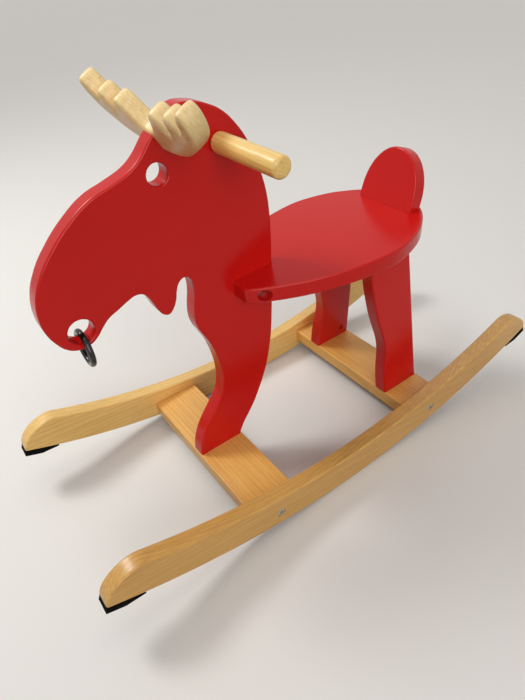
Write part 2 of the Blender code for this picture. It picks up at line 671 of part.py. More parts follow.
def make_handle(panel):
    at = (0, *HANDLE)
    size = (HANDLE_DOWEL_RADIUS, HANDLE_DOWEL_LENGTH, at, LEFTWARDS)
    dowel = add_pin("handle_dowel", *size, RAW_BEECH, sides=HANDLE_SIDES)
    hole = add_pin_bore("handle_dowel", *size, HANDLE_SIDES)
    cut(hole, panel)
    inner_x = BOARD / 2 + FIT
    length = HANDLE_LENGTH / 2 - inner_x
    for side, sign in SIDES:
        middle = (sign * (inner_x + length / 2), *HANDLE)
        shape = (HANDLE_RADIUS, length, middle, LEFTWARDS, LACQUERED_WOOD, HANDLE_CHAMFER, HANDLE_SIDES)
        cut(hole, add_pin("handle_" + side, *shape))
    brad_y = HANDLE[0] - BRAD_END + BRAD_LENGTH / 2
    middle = (0, brad_y, HANDLE[1])
    add_pin("handle_brad", BRAD_RADIUS, BRAD_LENGTH, middle, BACKWARDS, ZINC_STEEL, BRAD_RADIUS / 4)
    low = -BRAD_LENGTH / 2 - FIT
    cut(add_bore("handle_brad", BRAD_RADIUS, low, BRAD_LENGTH, middle, BACKWARDS), panel, dowel)


def make_nose_ring():
    """A loose ring that hangs on the nostril's lower rim; its origin is the axis it swings on."""
    major = RING_OUTER_RADIUS - RING_STOCK_RADIUS
    hinge_z = NOSTRIL[1] - NOSTRIL_RADIUS + RING_STOCK_RADIUS + RING_SEAT_GAP
    drop = math.sqrt(major**2 - (BOARD / 2) ** 2)
    bpy.ops.mesh.primitive_torus_add(
        major_segments=RING_STEPS[0],
        minor_segments=RING_STEPS[1],
        major_radius=major,
        minor_radius=RING_STOCK_RADIUS,
    )
    torus = bpy.context.active_object
    mesh = torus.data.copy()
    bpy.data.objects.remove(torus)
    mesh.transform(Matrix.Translation((0, 0, -drop)) @ Matrix.Rotation(math.pi / 2, 4, "X"))
    mesh.shade_smooth()
    return add_part("nose_ring", mesh, (0, NOSTRIL[0], hinge_z), (-REST_LEAN, 0, 0), BLACK_GLOSS)


def settle():
    """Moves the toy so that it stands on z = 0, with its box centred on the origin."""
    bpy.context.view_layer.update()
    graph = bpy.context.evaluated_depsgraph_get()
    points = []
    for obj in parts.objects:
        if obj.type == "MESH":
            piece = obj.evaluated_get(graph)
            points += [piece.matrix_world @ vertex.co for vertex in piece.data.vertices]
    low = [min(point[axis] for point in points) for axis in range(3)]
    high = [max(point[axis] for point in points) for axis in range(3)]
    toy.location = (-(low[0] + high[0]) / 2, -(low[1] + high[1]) / 2, -low[2])
    bpy.context.view_layer.update()


SIDES = (("left", 1), ("right", -1))
FAR = 2 * WIDTH

# Half spaces that trim boards where they stand on a plate or meet the seat
plate_space = add_cutter(
    "plate_space", box_mesh("plate_space", (-FAR, -FAR, -FAR), (FAR, FAR, PLATE_TOP + FIT)), (0, 0, 0), (0, 0, 0)
)
seat_top_space = add_cutter(
    "seat_top_space",
    box_mesh("seat_top_space", (-FAR, -FAR, -FAR), (FAR, FAR, FIT)),
    (0, 0, SEAT_HEIGHT),
    (SEAT_SLOPE, 0, 0),
)
seat_under_space = add_cutter(
    "seat_under_space",
    box_mesh("seat_under_space", (-FAR, -FAR, -BOARD - FIT), (FAR, FAR, FAR)),
    (0, 0, SEAT_HEIGHT),
    (SEAT_SLOPE, 0, 0),
)

head_panel = make_head_panel()
seat = make_seat()
make_backrest(seat)
plates = {
    "front": (make_plate("front", FRONT_PLATE_Y), FRONT_PLATE_Y, FRONT_BOLT_LIFT),
    "rear": (make_plate("rear", REAR_PLATE_Y), REAR_PLATE_Y, REAR_BOLT_LIFT),
}
for side_name, side_sign in SIDES:
    rocker = make_rocker(side_name, side_sign, plates)
    make_end_pads(side_name, side_sign, rocker)
    make_rear_leg(side_name, side_sign, plates["rear"][0], seat)
make_front_foot(head_panel, plates["front"][0])
make_wing_joint(head_panel, seat)
make_antlers(head_panel)
make_handle(head_panel)
make_nose_ring()
settle()
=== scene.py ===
import math

import bmesh
import bpy
from mathutils import Euler, Matrix, Vector


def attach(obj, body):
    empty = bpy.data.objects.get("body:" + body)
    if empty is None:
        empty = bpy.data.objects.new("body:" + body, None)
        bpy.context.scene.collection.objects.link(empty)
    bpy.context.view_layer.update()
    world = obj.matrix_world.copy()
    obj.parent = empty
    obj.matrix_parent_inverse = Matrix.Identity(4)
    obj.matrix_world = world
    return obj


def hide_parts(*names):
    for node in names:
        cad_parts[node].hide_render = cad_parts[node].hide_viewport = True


# A wooden rocking reindeer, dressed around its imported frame.
# Shapes are laid out in the toy's own frame, in metres, and leaned to the rest pose at the end.
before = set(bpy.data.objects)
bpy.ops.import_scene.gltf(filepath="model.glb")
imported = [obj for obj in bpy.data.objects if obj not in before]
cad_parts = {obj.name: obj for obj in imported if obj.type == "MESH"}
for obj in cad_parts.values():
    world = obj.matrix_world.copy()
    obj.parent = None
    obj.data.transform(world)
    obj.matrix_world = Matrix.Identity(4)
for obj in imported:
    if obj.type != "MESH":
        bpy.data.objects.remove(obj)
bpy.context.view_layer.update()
print("frame loaded:", len(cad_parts), "nodes")

mm = 0.001
fit = 0.3 * mm  # gap where two pieces meet
board = 24 * mm
cutPast = 25 * mm  # how far a cutter reaches past the face it cuts
farOut = 0.7  # reach of a box that cuts away all on one side of a plane
mergeDistance = 0.001 * mm
outlineMerge = 0.01 * mm
flatAngle = math.radians(0.1)  # outline points that turn less are dissolved
sharpAngle = math.radians(32)
faceWeight = 80  # above 50, large faces lead the normals
restLean = math.radians(0.36)
restShift = (0, 0.488 * mm, -0.215 * mm)  # stands the leaned toy on the floor, its box over the origin
toyPlace = Matrix.Translation(restShift) @ Matrix.Rotation(restLean, 4, "X")

leftwards = (0, math.pi / 2, 0)  # where a turned piece's own +Z points
rightwards = (0, -math.pi / 2, 0)
upwards = (0, 0, 0)
downwards = (math.pi, 0, 0)
backwards = (-math.pi / 2, 0, 0)
sideOn = (math.pi / 2, 0, math.pi / 2)
sides = (("Left", 1), ("Right", -1))

looks = bpy.data.collections.new("rockingReindeerLooks")
bpy.context.scene.collection.children.link(looks)


# Shader building

noiseMean = 0.5


def colour(red, green, blue):
    return (red, green, blue, 1)


class Wire:
    def __init__(self, maker, socket):
        self.maker = maker
        self.socket = socket

    def maths(self, operation, other, swapped=False):
        first, second = (other, self) if swapped else (self, other)
        return self.maker.node("ShaderNodeMath", {"operation": operation}, {0: first, 1: second})

    def __add__(self, other):
        return self.maths("ADD", other)

    def __radd__(self, other):
        return self.maths("ADD", other, True)

    def __sub__(self, other):
        return self.maths("SUBTRACT", other)

    def __rsub__(self, other):
        return self.maths("SUBTRACT", other, True)

    def __mul__(self, other):
        return self.maths("MULTIPLY", other)

    def __rmul__(self, other):
        return self.maths("MULTIPLY", other, True)


class NodeMaker:
    def __init__(self, tree):
        self.tree = tree

    def node(self, kind, settings, inputs, output=0):
        made = self.tree.nodes.new(kind)
        for key, value in settings.items():
            if key == "stops":
                ramp = made.color_ramp
                while len(ramp.elements) < len(value):
                    ramp.elements.new(1)
                for element, (spot, grey) in zip(ramp.elements, value):
                    element.position = spot
                    element.color = colour(grey, grey, grey)
            else:
                setattr(made, key, value)
        for key, value in inputs.items():
            self.feed(made.inputs[key], value)
        return Wire(self, made.outputs[output])

    def feed(self, socket, value):
        if isinstance(value, Wire):
            self.tree.links.new(value.socket, socket)
        else:
            socket.default_value = value

    def blend(self, mask, first, second):
        return self.node("ShaderNodeMix", {"data_type": "RGBA"}, {0: mask, 6: first, 7: second}, 2)

    # 1 for rays that see the room, 0 for rays that light the toy
    def backgroundMask(self):
        camera, glossy, through = (
            self.node("ShaderNodeLightPath", {}, {}, "Is " + kind + " Ray")
            for kind in ("Camera", "Glossy", "Transmission")
        )
        return camera.maths("MAXIMUM", glossy).maths("MAXIMUM", through)


class FinishMaker(NodeMaker):
    def __init__(self, name):
        self.material = bpy.data.materials.new(name)
        self.material.use_nodes = True
        super().__init__(self.material.node_tree)
        self.shader = self.tree.nodes["Principled BSDF"]

    def finish(self, **values):
        for key, value in values.items():
            self.feed(self.shader.inputs[key.replace("_", " ")], value)
        return self.material

    def place(self, centre=(0, 0, 0), turn=(0, 0, 0)):
        spot = self.node("ShaderNodeTexCoord", {}, {}, "Object")
        turned = {"Vector": spot, "Location": centre, "Rotation": turn}
        return self.node("ShaderNodeMapping", {"vector_type": "TEXTURE"}, turned)

    def stretch(self, vector, factors):
        return self.node("ShaderNodeVectorMath", {"operation": "MULTIPLY"}, {0: vector, 1: factors})

    def noise(self, vector, scale, detail, roughness=0.5):
        if isinstance(scale, tuple):  # finer along one axis than another
            vector, scale = self.stretch(vector, scale), 1
        inputs = {"Vector": vector, "Scale": scale, "Detail": detail, "Roughness": roughness}
        return self.node("ShaderNodeTexNoise", {}, inputs)

    def between(self, value, low, high):
        inputs = {"Value": value, "From Min": low, "From Max": high}
        return self.node("ShaderNodeMapRange", {"interpolation_type": "SMOOTHSTEP"}, inputs)

    def bump(self, height, depth):
        return self.node("ShaderNodeBump", {}, {"Height": height, "Distance": depth})


paintLook = {
    "colour": colour(0.60, 0.0080, 0.0060),
    "deep": colour(0.54, 0.0065, 0.0048),
    "worn": colour(0.68, 0.035, 0.025),
    "clouds": {"scale": 9, "detail": 3},
    "strokes": {"scale": (60, 18, 60), "detail": 3},
    "strokeHeight": 0.1,
    "peel": {"scale": 420, "detail": 2},
    "depth": 0.012 * mm,
    "scuffs": {"scale": (30, 30, 9), "detail": 5, "roughness": 0.7},
    "scuffRange": (0.70, 0.82),
    "scuffTint": 0.12,
    "scuffRoughness": 0.08,
    "roughness": 0.22,
    "spread": 0.02,
    "specular": 0.26,
}


def makePaint():
    look = paintLook
    maker = FinishMaker("redPaint")
    spot = maker.place()
    clouds, strokes, peel = (maker.noise(spot, **look[layer]) for layer in ("clouds", "strokes", "peel"))
    scuffs = maker.between(maker.noise(spot, **look["scuffs"]), *look["scuffRange"])
    tone = maker.blend(clouds, look["colour"], look["deep"])
    rough = look["roughness"] + (strokes - noiseMean) * look["spread"]
    return maker.finish(
        Base_Color=maker.blend(scuffs * look["scuffTint"], tone, look["worn"]),
        Roughness=rough + scuffs * look["scuffRoughness"],
        Normal=maker.bump(peel + strokes * look["strokeHeight"], look["depth"]),
        Specular_IOR_Level=look["specular"],
    )


grainLook = {  # what every wood here shares
    "wander": {"scale": (2.2, 9, 9), "detail": 2},
    "wanderRings": 5,
    "lateWood": [(0, 0), (0.45, 0.12), (0.86, 0.75), (0.93, 1), (1, 0)],  # through one ring
    "lineFloor": 0.4,
    "streaks": {"scale": (7, 230, 230), "detail": 3, "roughness": 0.6},
    "patches": {"scale": (3, 14, 14), "detail": 2},
    "fibres": {"scale": (45, 1500, 1500), "detail": 2},
    "shadeMix": (0.55, 0.35, 0.2),  # of streaks, patches and fibres
    "shadeRange": (0.38, 0.74),
    "pores": {"scale": (110, 2600, 2600), "detail": 1},
    "poreRange": (0.60, 0.70),
    "poreTint": 0.28,
    "roughnessMix": (0.16, 0.1),  # of fibres and pores
    "heightMix": (0.5, 0.6, 0.8),  # of fibres, streaks and pores
    "depth": 0.09 * mm,
    "lacquerRoughness": 0.20,
}

woodLooks = {
    "rockerWood": {
        "light": colour(0.90, 0.62, 0.215),
        "dark": colour(0.76, 0.46, 0.120),
        "line": colour(0.50, 0.245, 0.062),
        "pore": colour(0.34, 0.155, 0.040),
        "ringGap": 5.2 * mm,
        "heart": (-0.36, 0, -0.13),
        "turn": (0, math.radians(6), math.pi / 2),
        "lineStrength": 0.26,
        "lacquer": 0.25,
        "roughness": 0.38,
    },
    # a darker copy of rockerWood for the near rocker: painted shade where that rocker stands in shade,
    # partly a browner board
    "nearRockerWood": {
        "light": colour(0.72, 0.42, 0.112),
        "dark": colour(0.57, 0.290, 0.062),
        "line": colour(0.38, 0.170, 0.045),
        "pore": colour(0.27, 0.115, 0.030),
        "ringGap": 4.6 * mm,
        "heart": (-0.06, 0, -0.13),
        "turn": (0, math.radians(8), math.pi / 2),
        "lineStrength": 0.32,
        "lacquer": 0.25,
        "roughness": 0.40,
    },
    "plateWood": {
        "light": colour(0.90, 0.52, 0.130),
        "dark": colour(0.74, 0.375, 0.072),
        "line": colour(0.50, 0.215, 0.048),
        "pore": colour(0.34, 0.145, 0.035),
        "ringGap": 6.5 * mm,
        "heart": (0, -0.30, 0.03),
        "turn": (0, 0, math.radians(1.2)),
        "lineStrength": 0.30,
        "lacquer": 0.25,
        "roughness": 0.40,
    },
    "handleWood": {
        "light": colour(0.97, 0.70, 0.235),
        "dark": colour(0.78, 0.475, 0.135),
        "line": colour(0.55, 0.285, 0.070),
        "pore": colour(0.36, 0.165, 0.042),
        "ringGap": 4.4 * mm,
        "heart": (0, -0.14, 0.44),
        "turn": (0, math.radians(1), 0),
        "lineStrength": 0.22,
        "lacquer": 0.25,
        "roughness": 0.32,
    },
    "antlerWood": {
        "light": colour(0.97, 0.78, 0.42),
        "dark": colour(0.86, 0.62, 0.26),
        "line": colour(0.60, 0.37, 0.130),
        "pore": colour(0.36, 0.185, 0.060),
        "ringGap": 4.0 * mm,
        "heart": (0, -0.30, 0.47),
        "turn": (0, 0, 0),
        "lineStrength": 0.20,
        "lacquer": 0.06,
        "roughness": 0.36,
        "marks": (
            {"noise": {"scale": 46, "detail": 3}, "range": (0.58, 0.78), "tint": 0.14, "colour": "line"},
            {
                "noise": {"scale": 130, "detail": 2, "roughness": 0.6},
                "range": (0.655, 0.71), "tint": 0.35, "colour": "pore",
            },
        ),
    },
}


def makeWood(name):
    look = {**grainLook, **woodLooks[name]}
    maker = FinishMaker(name)
    grain = maker.place(look["heart"], look["turn"])
    layers = ("wander", "streaks", "patches", "fibres", "pores")
    wander, streaks, patches, fibres, pits = (maker.noise(grain, **look[layer]) for layer in layers)
    pores = maker.between(pits, *look["poreRange"])
    radial = maker.stretch(grain, (0, 1, 1))
    reach = maker.node("ShaderNodeVectorMath", {"operation": "LENGTH"}, {0: radial}, "Value")
    rings = reach * (1 / look["ringGap"]) + wander * look["wanderRings"]
    phase = maker.node("ShaderNodeMath", {"operation": "FRACT"}, {0: rings})
    late = maker.node("ShaderNodeValToRGB", {"stops": look["lateWood"]}, {"Fac": phase})
    streaky, patchy, fibrous = look["shadeMix"]
    shade = maker.between(streaks * streaky + patches * patchy + fibres * fibrous, *look["shadeRange"])
    tone = maker.blend(shade, look["light"], look["dark"])
    tone = maker.blend(late * (look["lineFloor"] + patches) * look["lineStrength"], tone, look["line"])
    tone = maker.blend(pores * look["poreTint"], tone, look["pore"])
    for mark in look.get("marks", ()):
        spots = maker.between(maker.noise(grain, **mark["noise"]), *mark["range"])
        tone = maker.blend(spots * mark["tint"], tone, look[mark["colour"]])
    fibrous, porous = look["roughnessMix"]
    rough = look["roughness"] + (fibres - noiseMean) * fibrous + pores * porous
    fibrous, streaky, porous = look["heightMix"]
    height = fibres * fibrous + streaks * streaky - pores * porous
    return maker.finish(
        Base_Color=tone,
        Roughness=rough,
        Normal=maker.bump(height, look["depth"]),
        Coat_Weight=look["lacquer"],
        Coat_Roughness=look["lacquerRoughness"],
    )


plainLooks = {
    "rawBeech": {
        "colours": (colour(0.68, 0.48, 0.30), colour(0.55, 0.36, 0.20)),
        "scale": (40, 400, 400),
        "rough": (0.62, 0.78),
        "depth": 0.00005,
        "specular": 0.5,
        "metallic": 0.0,
    },
    "blackGloss": {
        "colours": (colour(0.009, 0.009, 0.010), colour(0.005, 0.005, 0.006)),
        "scale": (300, 300, 300),
        "rough": (0.12, 0.24),
        "depth": 0.00002,
        "specular": 0.5,
        "metallic": 0.0,
    },
    "blackRubber": {
        "colours": (colour(0.007, 0.007, 0.007), colour(0.004, 0.004, 0.004)),
        "scale": (700, 700, 700),
        "rough": (0.72, 0.92),
        "depth": 0.0001,
        "specular": 0.03,
        "metallic": 0.0,
    },
    "zincSteel": {
        "colours": (colour(0.60, 0.60, 0.58), colour(0.45, 0.45, 0.44)),
        "scale": (900, 900, 900),
        "rough": (0.24, 0.42),
        "depth": 0.00002,
        "specular": 0.5,
        "metallic": 1.0,
    },
}
plainMix = {
    "fineDetail": 3, "broad": {"scale": 70, "detail": 2}, "shares": (0.6, 0.4), "range": (0.35, 0.65),
}


def makePlain(name):
    look = plainLooks[name]
    maker = FinishMaker(name)
    spot = maker.place()
    fine = maker.noise(spot, look["scale"], plainMix["fineDetail"])
    broad = maker.noise(spot, **plainMix["broad"])
    fineShare, broadShare = plainMix["shares"]
    mask = maker.between(fine * fineShare + broad * broadShare, *plainMix["range"])
    low, high = look["rough"]
    return maker.finish(
        Base_Color=maker.blend(mask, *look["colours"]),
        Roughness=low + fine * (high - low),
        Metallic=look["metallic"],
        Specular_IOR_Level=look["specular"],
        Normal=maker.bump(fine, look["depth"]),
    )


finishes = {"redPaint": makePaint()}
finishes.update({name: makeWood(name) for name in woodLooks})
finishes.update({name: makePlain(name) for name in plainLooks})
print("finishes made:", len(finishes))


# Mesh building

def settle(name, form):
    mesh = bpy.data.meshes.new(name)
    bmesh.ops.recalc_face_normals(form, faces=form.faces)
    form.to_mesh(mesh)
    form.free()
    return mesh


def evaluated(name, data, modify=None):
    guide = bpy.data.objects.new(name + "Guide", data)
    bpy.context.scene.collection.objects.link(guide)
    if modify:
        modify(guide)
    graph = bpy.context.evaluated_depsgraph_get()
    mesh = bpy.data.meshes.new_from_object(guide.evaluated_get(graph))
    mesh.name = name
    bpy.data.objects.remove(guide)
    return mesh


def put(mesh, at, turn):
    mesh.transform(Matrix.Translation(at) @ Euler(turn).to_matrix().to_4x4())
    return mesh


def boxMesh(name, low, high):
    form = bmesh.new()
    bmesh.ops.create_cube(form, size=1)
    size = Vector(high) - Vector(low)
    centre = (Vector(high) + Vector(low)) / 2
    place = Matrix.Translation(centre) @ Matrix.Diagonal((*size, 1))
    bmesh.ops.transform(form, verts=form.verts, matrix=place)
    return settle(name, form)


def roundOff(form, width, segments=6):
    form.normal_update()
    outer = [e for e in form.edges if e.is_manifold and e.calc_face_angle_signed() > sharpAngle]
    bmesh.ops.bevel(
        form, geom=outer, offset=width, offset_type="OFFSET", affect="EDGES", segments=segments,
        profile=0.5, material=-1, clamp_overlap=False,
    )


def rounded(name, mesh, width, segments=6):
    form = bmesh.new()
    form.from_mesh(mesh)
    roundOff(form, width, segments)
    return settle(name, form)


def revolve(form, parts, steps):
    bmesh.ops.spin(
        form, geom=parts, cent=(0, 0, 0), axis=(0, 0, 1), angle=2 * math.pi, steps=steps, use_merge=True,
    )
    bmesh.ops.remove_doubles(form, verts=form.verts, dist=mergeDistance)


def spunMesh(name, profile, turns=40):
    form = bmesh.new()
    line = [form.verts.new((radius, 0, height)) for radius, height in profile]
    edges = [form.edges.new(pair) for pair in zip(line, line[1:])]
    revolve(form, line + edges, turns)
    return settle(name, form)


def boardMesh(name, loops, thickness, rounding, curved=True, steps=10):
    curve = bpy.data.curves.new(name + "Outline", "CURVE")
    curve.dimensions = "2D"
    curve.fill_mode = "BOTH"
    curve.extrude = thickness / 2
    curve.resolution_u = steps
    for points in loops:
        spline = curve.splines.new("BEZIER" if curved else "POLY")
        knots = spline.bezier_points if curved else spline.points
        knots.add(len(points) - 1)
        for knot, (across, up, *corner) in zip(knots, points):
            if curved:
                knot.co = (across, up, 0)
                knot.handle_left_type = "VECTOR" if corner else "AUTO"
                knot.handle_right_type = "VECTOR" if corner else "AUTO"
            else:
                knot.co = (across, up, 0, 1)
        spline.use_cyclic_u = True
    form = bmesh.new()
    form.from_mesh(evaluated(name, curve))
    bmesh.ops.remove_doubles(form, verts=form.verts, dist=outlineMerge)
    bmesh.ops.dissolve_limit(form, angle_limit=flatAngle, verts=form.verts, edges=form.edges)
    bmesh.ops.recalc_face_normals(form, faces=form.faces)
    roundOff(form, rounding)
    return settle(name, form)


def carved(name, mesh, cutters):
    helpers = []

    def cutAll(guide):
        for cutter in cutters:
            helper = bpy.data.objects.new(cutter.name + "Cut", cutter)
            bpy.context.scene.collection.objects.link(helper)
            helpers.append(helper)
            boolean = guide.modifiers.new(helper.name, "BOOLEAN")
            boolean.operation = "DIFFERENCE"
            boolean.object = helper

    shape = evaluated(name, mesh, cutAll)
    for helper in helpers:
        bpy.data.objects.remove(helper)
    return shape


def addPiece(name, mesh, finish, nodes, body="frame", weighted=True):
    mesh.transform(toyPlace)
    mesh.shade_smooth()
    mesh.set_sharp_from_angle(angle=sharpAngle)
    mesh.materials.clear()
    mesh.materials.append(finishes[finish])
    piece = bpy.data.objects.new(name, mesh)
    looks.objects.link(piece)
    if weighted:
        normals = piece.modifiers.new("evenNormals", "WEIGHTED_NORMAL")
        normals.keep_sharp = True
        normals.weight = faceWeight
    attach(piece, body)
    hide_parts(*nodes)


bores = {}  # what is cut from each board, by the board's name


def bore(boards, mesh):
    for name in boards:
        bores.setdefault(name, []).append(mesh)


def sideNode(text, side):
    return text.replace("SIDE", side.lower())


# Sizes that several pieces share

seatSlope = math.atan(0.0419)
seatNormal = Vector((0, -math.sin(seatSlope), math.cos(seatSlope)))
seatHeight = 341.3 * mm
plateTop = 49 * mm
width = 340 * mm
frontPlateY = -159 * mm
rearPlateY = 169.5 * mm
holeKnots = 12


def seatPoint(x, y, below=0):
    return Vector((x, y, seatHeight + y * math.tan(seatSlope))) - seatNormal * below


def mirroredHalf(half):
    return half + [(-point[0], *point[1:]) for point in reversed(half) if point[0] > 0]


def inMetres(points):
    return [(point[0] * mm, point[1] * mm, *point[2:]) for point in points]


def holeLoop(centre, radius):
    angles = [2 * math.pi * i / holeKnots for i in range(holeKnots)]
    return [(centre[0] + radius * math.cos(a), centre[1] + radius * math.sin(a)) for a in angles]


# Fasteners: bolts and screws with sockets, in millimetres, and barrel nuts with slots

boltSizes = {
    "rockerBolt": {"head": 7, "headHeight": 4.5, "shank": 4, "length": 60, "recess": 0.6, "socket": 2.9},
    "footBolt": {"head": 7, "headHeight": 4.5, "shank": 4, "length": 55, "recess": 0.6, "socket": 2.9},
    "legBolt": {"head": 7, "headHeight": 4.5, "shank": 4, "length": 45, "recess": 0.6, "socket": 2.9},
    "padScrew": {"head": 3.5, "headHeight": 2.5, "shank": 1.75, "length": 24, "recess": 1, "socket": 1.4},
    "backrestScrew": {"head": 4.5, "headHeight": 3, "shank": 2.5, "length": 45, "recess": 2, "socket": 1.8},
    "antlerScrew": {"head": 3.5, "headHeight": 3, "shank": 2.2, "length": 50, "recess": 1.2, "socket": 1.4},
}
headedLook = {"lip": 0.5 * mm, "socketSides": 6, "socketDepth": 0.6}  # its depth in heights of the head
nutLook = {"radius": 5 * mm, "lip": 0.5 * mm, "slotWidth": 1.2 * mm, "slotDepth": 1.4 * mm}


def makeHeaded(name, node, size, face, turn, boards):
    size = {key: value * mm for key, value in size.items()}
    head, shank, lip = size["head"], size["shank"], headedLook["lip"]
    top = -size["recess"]
    under = top - size["headHeight"]
    end = under - size["length"]
    profile = [
        (0, top), (head - 3 * lip, top), (head - lip, top - lip / 2), (head, top - 2 * lip), (head, under),
        (shank, under), (shank, end + 2 * lip), (shank - 2 * lip, end), (0, end),
    ]
    form = bmesh.new()
    socket, depth = size["socket"], size["headHeight"] * headedLook["socketDepth"]
    bmesh.ops.create_cone(
        form, cap_ends=True, segments=headedLook["socketSides"], radius1=socket, radius2=socket,
        depth=2 * depth,
    )
    bmesh.ops.translate(form, verts=form.verts, vec=(0, 0, top))
    shape = carved(name, spunMesh(name, profile), [settle(name + "Socket", form)])
    addPiece(name, put(shape, face, turn), "zincSteel", [node])
    wide, narrow = head + fit, shank + fit
    hole = [
        (0, cutPast), (wide, cutPast), (wide, under - fit), (narrow, under - fit), (narrow, end - fit),
        (0, end - fit),
    ]
    bore(boards, put(spunMesh(name + "Hole", hole), face, turn))


def pinProfile(radius, end, lip):
    return [
        (0, end), (radius - lip, end), (radius, end - lip),
        (radius, lip - end), (radius - lip, -end), (0, -end),
    ]


def makeNut(name, node, length, at, turn, boards):
    radius, end, half = nutLook["radius"], length / 2, nutLook["slotWidth"] / 2
    slot = boxMesh(
        name + "Slot", (-radius * 2, -half, -end * 2), (radius * 2, half, nutLook["slotDepth"] - end)
    )
    shape = carved(name, spunMesh(name, pinProfile(radius, end, nutLook["lip"])), [slot])
    addPiece(name, put(shape, at, turn), "zincSteel", [node])
    wide = radius + fit
    hole = [(0, end + fit), (wide, end + fit), (wide, -cutPast), (0, -cutPast)]
    bore(boards, put(spunMesh(name + "Hole", hole), at, turn))


rockerRadius = 1079 * mm


def rockerArc(angle, radius=rockerRadius):
    return radius * math.sin(angle), rockerRadius - radius * math.cos(angle)


rockerLook = {
    "reach": 423 * mm, "height": 57 * mm, "nose": 53 * mm, "facet": math.radians(2.4),
    "noseSteps": 18, "topSteps": 60, "runSteps": 72, "rounding": 3 * mm, "blend": 8 * mm, "pull": 24 * mm,
    "rearBoltLift": 3.5 * mm, "nutInset": 36 * mm, "nutLength": 12 * mm,
}
tipAngle = math.asin(rockerLook["reach"] / rockerRadius)


def rockerOutline():
    look = rockerLook
    inner = rockerRadius * math.cos(look["facet"] / 2)
    turns = [tipAngle * (2 * i / look["runSteps"] - 1) for i in range(1, look["runSteps"])]
    run = [rockerArc(-tipAngle)] + [rockerArc(a, inner) for a in turns] + [rockerArc(tipAngle)]
    topRadius = rockerRadius - look["height"]
    topAngle = math.asin((look["reach"] - look["nose"] - look["blend"]) / topRadius)
    start = Vector(rockerArc(topAngle, topRadius))
    tip = Vector(rockerArc(tipAngle))
    along = start + Vector((math.cos(topAngle), math.sin(topAngle))) * look["pull"]
    over = tip + Vector((0, look["pull"]))
    nose = []
    for i in range(1, look["noseSteps"]):
        t = i / look["noseSteps"]
        u = 1 - t
        spot = tip * u**3 + over * (3 * u * u * t) + along * (3 * u * t * t) + start * t**3
        nose.append(tuple(spot))
    steps = look["topSteps"]
    top = [rockerArc(topAngle * (1 - 2 * i / steps), topRadius) for i in range(steps + 1)]
    return run + nose + top + [(-y, z) for y, z in reversed(nose)]


padLook = {
    "length": 52 * mm, "flat": 26 * mm, "flatSteps": 8, "thickness": 9 * mm, "feather": 0.8 * mm,
    "rounding": 0.35 * mm, "screwInset": 14 * mm,
}


def padOutline(sign):
    look = padLook
    upper, lower = [], []
    steps = look["flatSteps"]
    for station in [look["flat"] * i / steps for i in range(steps + 1)] + [look["length"]]:
        angle = sign * (tipAngle - (station + fit) / rockerRadius)
        thickness = look["thickness"] if station <= look["flat"] else look["feather"]
        upper.append(rockerArc(angle, rockerRadius + fit))
        lower.append(rockerArc(angle, rockerRadius + fit + thickness))
    return upper + lower[::-1]


def makePad(side, end, way, rocker, middle):
    look = padLook
    pad = "endPad" + side + end
    angle = way * (tipAngle - look["screwInset"] / rockerRadius)
    face = (middle[0], *rockerArc(angle, rockerRadius + fit + look["thickness"]))
    node = sideNode("pad_screw_SIDE_", side) + end.lower()
    driven = (math.pi + angle, 0, 0)
    makeHeaded(pad + "Screw", node, boltSizes["padScrew"], face, driven, [pad, rocker])
    shape = put(boardMesh(pad, [padOutline(way)], board, look["rounding"], False), middle, sideOn)
    node = sideNode("end_pad_SIDE_", side) + end.lower()
    addPiece(pad, carved(pad, shape, bores[pad]), "blackRubber", [node])


def makeRockers():
    look = rockerLook
    innerX = width / 2 - board
    for side, sign in sides:
        outward = leftwards if sign > 0 else rightwards
        rocker = "rocker" + side
        for end, y, lift in (("Front", frontPlateY, 0), ("Rear", rearPlateY, look["rearBoltLift"])):
            z = plateTop - board / 2 + lift
            node = sideNode("rocker_bolt_SIDE_", side) + end.lower()
            face = (sign * width / 2, y, z)
            boards = [rocker, "crossPlate" + end]
            makeHeaded(rocker + "Bolt" + end, node, boltSizes["rockerBolt"], face, outward, boards)
            at = (sign * (innerX - look["nutInset"]), y, z)
            node = node.replace("bolt", "nut")
            makeNut(rocker + "Nut" + end, node, look["nutLength"], at, upwards, boards[1:])
        middle = (sign * (width / 2 - board / 2), 0, 0)
        for end, way in (("Front", -1), ("Rear", 1)):
            makePad(side, end, way, rocker, middle)
        shape = boardMesh(rocker, [rockerOutline()], board, look["rounding"], False)
        shape = carved(rocker, put(shape, middle, sideOn), bores[rocker])
        # the near rocker takes the darker copy of the wood, with its shade painted in
        finish = "nearRockerWood" if sign > 0 else "rockerWood"
        addPiece(rocker, shape, finish, [sideNode("rocker_SIDE", side)])
    print("rockers and pads made")


legFront = inMetres([
    (106, 350, "corner"), (106.5, 286), (109, 255), (113, 228), (118, 202), (125, 177), (131, 155),
    (133, 137), (131.5, 116), (129, 94), (128.5, 72), (129.5, 30, "corner"),
])
legLook = {
    "spread": 101 * mm, "splay": math.atan(0.1235), "rearFoot": 207 * mm, "rearLean": 0.067,
    "rounding": 3 * mm, "boltY": 187 * mm, "nutLift": 20 * mm, "nutLength": 14 * mm,
}

# What boards are trimmed by where they stand on a plate or meet the seat
plateSpace = boxMesh("plateSpace", (-farOut, -farOut, -farOut), (farOut, farOut, plateTop + fit))
seatOver = boxMesh("seatOver", (-farOut, -farOut, -board - fit), (farOut, farOut, farOut))
seatUnder = boxMesh("seatUnder", (-farOut, -farOut, -farOut), (farOut, farOut, fit))
for space in (seatOver, seatUnder):
    put(space, (0, 0, seatHeight), (seatSlope, 0, 0))


